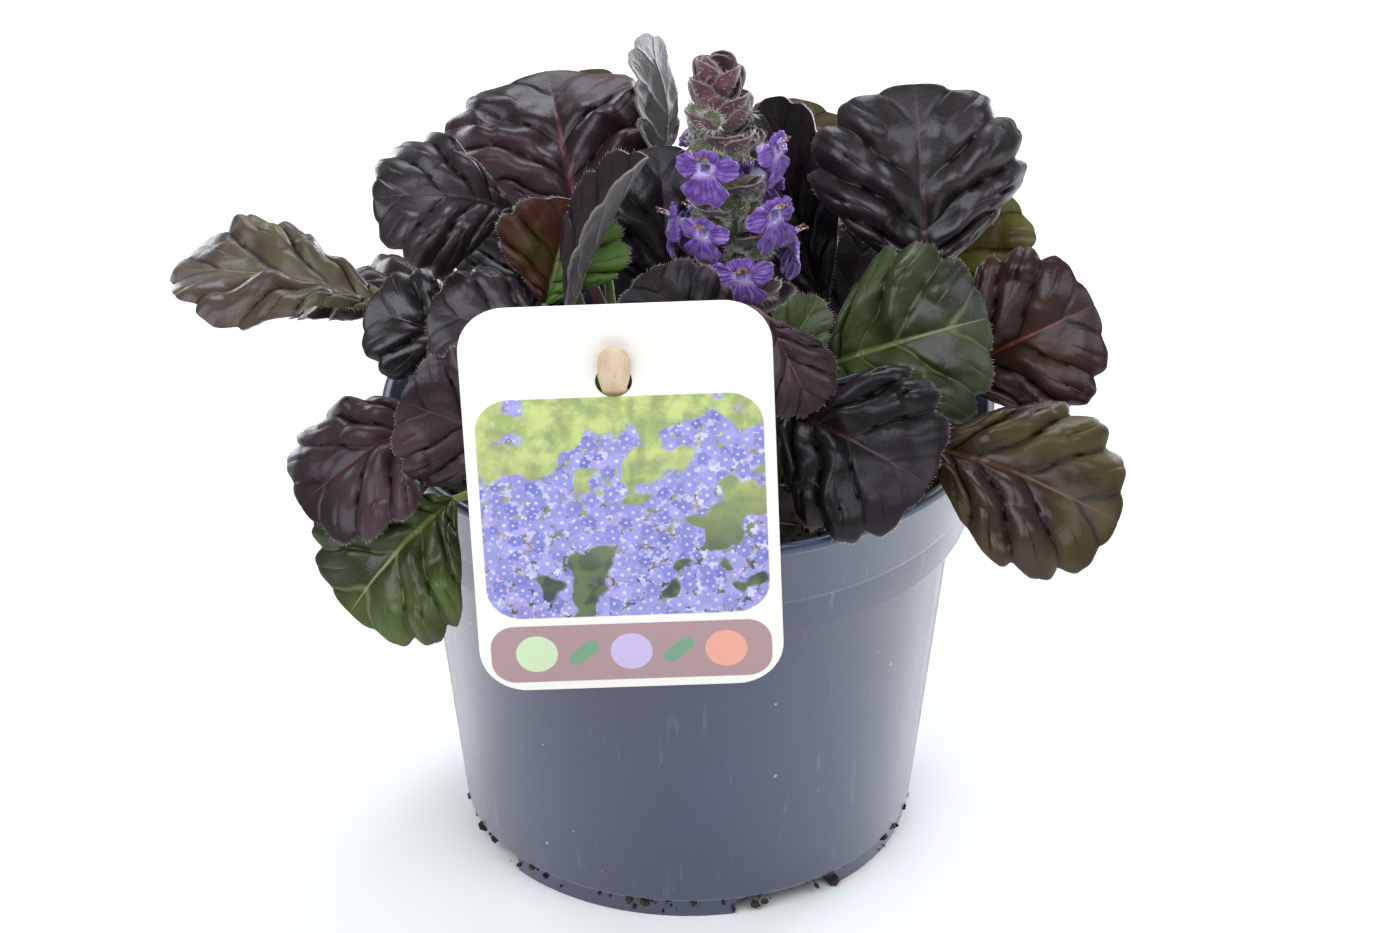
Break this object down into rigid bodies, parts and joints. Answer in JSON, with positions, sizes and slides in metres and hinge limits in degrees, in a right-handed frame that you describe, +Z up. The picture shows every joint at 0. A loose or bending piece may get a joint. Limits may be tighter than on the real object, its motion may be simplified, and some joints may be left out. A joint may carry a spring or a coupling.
{
  "type": "potted bugleweed",
  "caption": "Potted perennial with scalloped purple-black leaves and one blue-violet flower spike, in a round nursery pot with a printed label card on a wooden stake.",
  "frame": {"origin": "middle of the underside of the pot, on the surface that it stands on", "axes": "+Z up, +X to the right and -Y towards the front, where the label card hangs"},
  "size_m": [0.1991, 0.1621, 0.1787],
  "materials": {
    "pot": "satin moulded",
    "soil": "moist fibrous peat",
    "card": "printed, lightly coated",
    "stake": "raw",
    "spike": "hairy",
    "floret": "soft petal",
    "leaf_dark": "glossy, puckered",
    "leaf_olive": "glossy, puckered",
    "leaf_green": "glossy, puckered"
  },
  "bodies": {
    "root": {"pot": "pot", "soil": "soil", "label_card": "card", "label_stake": "stake", "flower_spike": "spike", "floret_1": "floret", "floret_2": "floret", "floret_3": "floret", "floret_4": "floret", "floret_5": "floret", "floret_6": "floret", "floret_7": "floret", "floret_8": "floret", "floret_9": "floret", "floret_10": "floret", "leaf_far_left": "leaf_olive", "leaf_left_upper": "leaf_dark", "leaf_back_left_big": "leaf_dark", "leaf_back_edge_on": "leaf_dark", "leaf_young_backlit": "leaf_olive", "leaf_folded_spear": "leaf_dark", "leaf_inner_left": "leaf_dark", "leaf_left_low": "leaf_dark", "leaf_left_droop": "leaf_olive", "leaf_left_front": "leaf_dark", "leaf_left_green": "leaf_green", "leaf_right_inner_tall": "leaf_dark", "leaf_right_top_big": "leaf_dark", "leaf_right_top_behind": "leaf_olive", "leaf_right_green": "leaf_green", "leaf_right_red_brown": "leaf_olive", "leaf_right_olive_low": "leaf_olive", "leaf_front_right": "leaf_dark", "leaf_front_small": "leaf_dark", "leaf_behind_card": "leaf_dark", "leaf_right_small_green": "leaf_green", "leaf_front_small_green": "leaf_green", "leaf_right_edge": "leaf_dark", "leaf_back_olive": "leaf_olive", "leaf_back_grey": "leaf_olive", "leaf_behind_spike": "leaf_dark", "leaf_low_left": "leaf_dark", "leaf_low_right": "leaf_dark", "leaf_card_middle": "leaf_dark", "leaf_card_left": "leaf_dark", "leaf_back_inner": "leaf_dark", "leaf_back_far_left": "leaf_dark", "leaf_back_left": "leaf_dark", "leaf_back_middle": "leaf_dark", "leaf_back_right": "leaf_dark", "leaf_back_far_right": "leaf_dark"}
  },
  "joints": []
}
